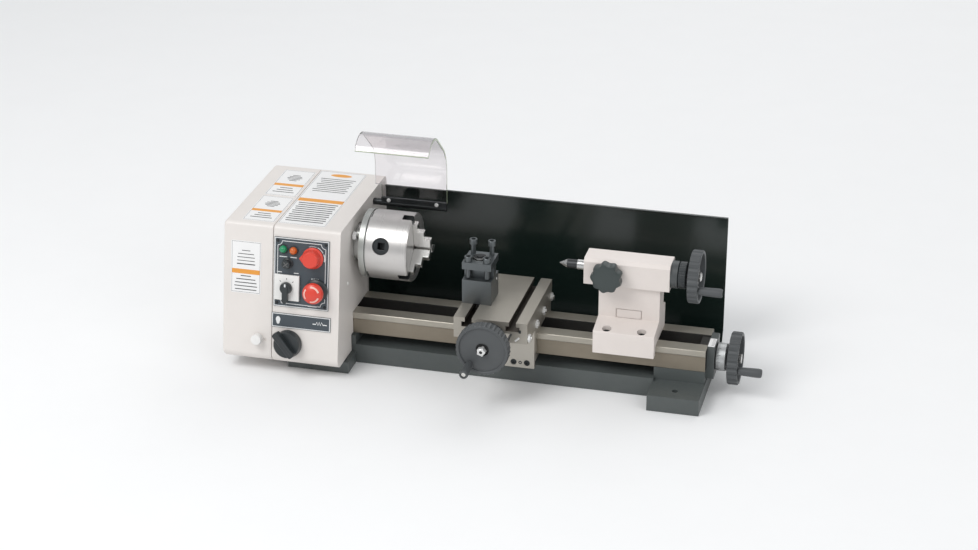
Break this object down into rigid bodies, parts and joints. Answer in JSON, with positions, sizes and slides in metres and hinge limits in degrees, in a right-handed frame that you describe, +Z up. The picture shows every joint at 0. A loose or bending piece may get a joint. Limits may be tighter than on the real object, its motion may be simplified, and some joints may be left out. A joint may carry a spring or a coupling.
{
  "type": "metal lathe",
  "caption": "Small bench metal lathe with leaning control panel, scroll chuck under a clear guard, flat bed, cross slide with tool post, tailstock and splash plate.",
  "frame": {"origin": "centre of the four bench bolt holes, on the bench surface", "axes": "+X along the bed from the headstock to the tailstock, +Y to the back, +Z up"},
  "size_m": [0.6165, 0.26, 0.269],
  "materials": {
    "cream_paint": "light textured enamel",
    "grey_paint": "dark grey enamel",
    "black_paint": "gloss black sheet",
    "ground_iron": "ground and oiled",
    "raw_iron": "as cast",
    "bright_steel": "turned bright",
    "black_steel": "black oxide",
    "wheel_plastic": "moulded, fine grain",
    "knob_plastic": "moulded",
    "red_plastic": "moulded",
    "lamp_lens": "translucent lens",
    "clear_sheet": "clear polycarbonate",
    "label_film": "printed film with plain bars",
    "panel_film": "printed film",
    "gear_brass": "cut",
    "belt_rubber": "ribbed",
    "board_green": "circuit board",
    "motor_black": "semi-gloss",
    "white_plastic": "moulded"
  },
  "bodies": {
    "frame": {"base_casting": "grey_paint", "bed": "ground_iron", "frame_screws": "bright_steel", "backsplash": "black_paint", "headstock_casting": "raw_iron", "headstock_cover": "cream_paint", "gear_cover": "cream_paint", "spindle_bearings": "bright_steel", "motor": "motor_black", "drive_belt": "belt_rubber", "control_board": "board_green", "gear_quadrant": "raw_iron", "panel_plates": "panel_film", "signal_lamps": "lamp_lens", "fuse_holder": "knob_plastic", "switch_plate": "white_plastic", "stop_collar": "knob_plastic", "blank_labels": "label_film", "leadscrew_bracket": "grey_paint"},
    "cover_thumbscrew": {"cover_thumbscrew": "bright_steel"},
    "spindle": {"spindle": "bright_steel", "spindle_pulley": "black_steel", "spindle_gear": "gear_brass", "chuck_backplate": "bright_steel", "chuck_body": "bright_steel"},
    "rotor": {"motor_pulley": "bright_steel"},
    "compound_gear": {"compound_gear": "gear_brass"},
    "input_gear": {"input_gear": "gear_brass"},
    "feed_clutch": {"feed_clutch": "bright_steel"},
    "speed_knob": {"speed_knob": "red_plastic"},
    "switch_lever": {"switch_lever": "knob_plastic"},
    "stop_button": {"stop_button": "red_plastic"},
    "feed_knob": {"feed_knob": "knob_plastic"},
    "scroll": {"chuck_scroll": "black_steel"},
    "pinion_1": {"chuck_pinion_1": "black_steel"},
    "pinion_2": {"chuck_pinion_2": "black_steel"},
    "pinion_3": {"chuck_pinion_3": "black_steel"},
    "jaw_1": {"chuck_jaw_1": "bright_steel"},
    "jaw_2": {"chuck_jaw_2": "bright_steel"},
    "jaw_3": {"chuck_jaw_3": "bright_steel"},
    "guard": {"guard_rod": "black_steel", "guard_shield": "clear_sheet"},
    "leadscrew": {"leadscrew": "bright_steel", "leadscrew_wheel": "wheel_plastic"},
    "leadscrew_grip": {"leadscrew_grip": "wheel_plastic"},
    "carriage": {"saddle": "ground_iron", "apron": "ground_iron"},
    "cross_slide": {"cross_slide": "ground_iron", "gib_screws": "bright_steel", "tool_post_bolt": "bright_steel"},
    "cross_screw": {"cross_screw": "bright_steel", "cross_wheel": "wheel_plastic"},
    "cross_grip": {"cross_grip": "wheel_plastic"},
    "tool_post": {"tool_post": "black_steel", "tool_screws": "black_steel"},
    "tailstock": {"tailstock": "cream_paint"},
    "quill": {"quill": "bright_steel"},
    "quill_screw": {"quill_screw": "wheel_plastic"},
    "quill_grip": {"quill_grip": "wheel_plastic"},
    "quill_lock": {"quill_lock": "wheel_plastic"}
  },
  "joints": [
    {"name": "spindle_turn", "type": "hinge", "parent": "frame", "child": "spindle", "pos_m": [0, 0, 0.137], "axis": [1, 0, 0], "continuous": true},
    {"name": "motor_turn", "type": "hinge", "parent": "frame", "child": "rotor", "pos_m": [-0.25, 0.072, 0.062], "axis": [1, 0, 0], "continuous": true},
    {"name": "compound_gear_turn", "type": "hinge", "parent": "frame", "child": "compound_gear", "pos_m": [-0.262, 0, 0.089], "axis": [1, 0, 0], "continuous": true},
    {"name": "input_gear_turn", "type": "hinge", "parent": "frame", "child": "input_gear", "pos_m": [-0.262, 0, 0.041], "axis": [1, 0, 0], "continuous": true},
    {"name": "cover_thumbscrew_turn", "type": "hinge", "parent": "frame", "child": "cover_thumbscrew", "pos_m": [-0.264, -0.08897, 0.043], "axis": [0, -0.9854, 0.1702], "range_deg": [0, 1440]},
    {"name": "speed_knob_turn", "type": "hinge", "parent": "frame", "child": "speed_knob", "pos_m": [-0.1996, -0.07158, 0.1437], "axis": [0, -0.9854, 0.1702], "range_deg": [-270, 0]},
    {"name": "switch_lever_turn", "type": "hinge", "parent": "frame", "child": "switch_lever", "pos_m": [-0.2294, -0.07792, 0.107], "axis": [0, -0.9854, 0.1702], "range_deg": [-45, 45]},
    {"name": "stop_button_press", "type": "slide", "parent": "frame", "child": "stop_button", "axis": [0, 0.9854, -0.1702], "range_m": [0, 0.0042]},
    {"name": "feed_knob_turn", "type": "hinge", "parent": "frame", "child": "feed_knob", "pos_m": [-0.2272, -0.08932, 0.041], "axis": [0, -0.9854, 0.1702], "range_deg": [-80, 0]},
    {"name": "feed_clutch_slide", "type": "slide", "parent": "leadscrew", "child": "feed_clutch", "axis": [-1, 0, 0], "range_m": [0, 0.003]},
    {"name": "chuck_scroll_turn", "type": "hinge", "parent": "spindle", "child": "scroll", "pos_m": [-0.116, 0, 0.137], "axis": [1, 0, 0], "range_deg": [-80, 860]},
    {"name": "pinion_1_turn", "type": "hinge", "parent": "spindle", "child": "pinion_1", "pos_m": [-0.1306, 0, 0.137], "axis": [0, -0.9397, 0.342], "range_deg": [-2580, 240]},
    {"name": "pinion_2_turn", "type": "hinge", "parent": "spindle", "child": "pinion_2", "pos_m": [-0.1306, 0, 0.137], "axis": [0, 0.1736, -0.9848], "range_deg": [-2580, 240]},
    {"name": "pinion_3_turn", "type": "hinge", "parent": "spindle", "child": "pinion_3", "pos_m": [-0.1306, 0, 0.137], "axis": [0, 0.766, 0.6428], "range_deg": [-2580, 240]},
    {"name": "jaw_1_slide", "type": "slide", "parent": "spindle", "child": "jaw_1", "axis": [0, -0.766, -0.6428], "range_m": [-0.0012, 0.012]},
    {"name": "jaw_2_slide", "type": "slide", "parent": "spindle", "child": "jaw_2", "axis": [0, 0.9397, -0.342], "range_m": [-0.0012, 0.012]},
    {"name": "jaw_3_slide", "type": "slide", "parent": "spindle", "child": "jaw_3", "axis": [0, -0.1736, 0.9848], "range_m": [-0.0012, 0.012]},
    {"name": "guard_tilt", "type": "hinge", "parent": "frame", "child": "guard", "pos_m": [-0.12, 0.06, 0.163], "axis": [1, 0, 0], "range_deg": [0, 65]},
    {"name": "leadscrew_turn", "type": "hinge", "parent": "frame", "child": "leadscrew", "pos_m": [0.26, 0, 0.041], "axis": [1, 0, 0], "range_deg": [-9600, 13200]},
    {"name": "carriage_slide", "type": "slide", "parent": "frame", "child": "carriage", "axis": [1, 0, 0], "range_m": [-0.04, 0.055]},
    {"name": "leadscrew_grip_spin", "type": "hinge", "parent": "leadscrew", "child": "leadscrew_grip", "pos_m": [0.29, 0.00408, 0.01786], "axis": [1, 0, 0], "continuous": true},
    {"name": "cross_screw_turn", "type": "hinge", "parent": "cross_slide", "child": "cross_screw", "pos_m": [0.009, -0.12, 0.075], "axis": [0, 1, 0], "range_deg": [-5400, 11880]},
    {"name": "cross_slide_move", "type": "slide", "parent": "carriage", "child": "cross_slide", "axis": [0, 1, 0], "range_m": [-0.015, 0.033]},
    {"name": "cross_grip_spin", "type": "hinge", "parent": "cross_screw", "child": "cross_grip", "pos_m": [-0.00514, -0.13, 0.05623], "axis": [0, 1, 0], "continuous": true},
    {"name": "tool_post_turn", "type": "hinge", "parent": "cross_slide", "child": "tool_post", "pos_m": [-0.0165, -0.026, 0.12], "axis": [0, 0, 1], "continuous": true},
    {"name": "tailstock_slide", "type": "slide", "parent": "frame", "child": "tailstock", "axis": [1, 0, 0], "range_m": [-0.05, 0.044]},
    {"name": "quill_screw_turn", "type": "hinge", "parent": "tailstock", "child": "quill_screw", "pos_m": [0.22, 0, 0.137], "axis": [-1, 0, 0], "range_deg": [0, 9600]},
    {"name": "quill_slide", "type": "slide", "parent": "tailstock", "child": "quill", "axis": [-1, 0, 0], "range_m": [0, 0.04]},
    {"name": "quill_grip_spin", "type": "hinge", "parent": "quill_screw", "child": "quill_grip", "pos_m": [0.24, 0.00687, 0.11453], "axis": [1, 0, 0], "continuous": true},
    {"name": "quill_lock_turn", "type": "hinge", "parent": "tailstock", "child": "quill_lock", "pos_m": [0.1295, -0.03, 0.137], "axis": [0, -1, 0], "range_deg": [0, 180]}
  ],
  "couplings": [
    {"joint": "motor_turn", "follows": "spindle_turn", "ratio": 2},
    {"joint": "compound_gear_turn", "follows": "spindle_turn", "ratio": -0.45455},
    {"joint": "input_gear_turn", "follows": "spindle_turn", "ratio": 0.58442},
    {"joint": "feed_clutch_slide", "follows": "feed_knob_turn", "m_per_rad": -0.0021486},
    {"joint": "pinion_1_turn", "follows": "chuck_scroll_turn", "ratio": -3},
    {"joint": "pinion_2_turn", "follows": "chuck_scroll_turn", "ratio": -3},
    {"joint": "pinion_3_turn", "follows": "chuck_scroll_turn", "ratio": -3},
    {"joint": "jaw_1_slide", "follows": "chuck_scroll_turn", "m_per_rad": 0.00079577},
    {"joint": "jaw_2_slide", "follows": "chuck_scroll_turn", "m_per_rad": 0.00079577},
    {"joint": "jaw_3_slide", "follows": "chuck_scroll_turn", "m_per_rad": 0.00079577},
    {"joint": "leadscrew_turn", "follows": "carriage_slide", "rad_per_m": 4188.8},
    {"joint": "cross_screw_turn", "follows": "cross_slide_move", "rad_per_m": 6283.2},
    {"joint": "quill_screw_turn", "follows": "quill_slide", "rad_per_m": 4188.8}
  ]
}
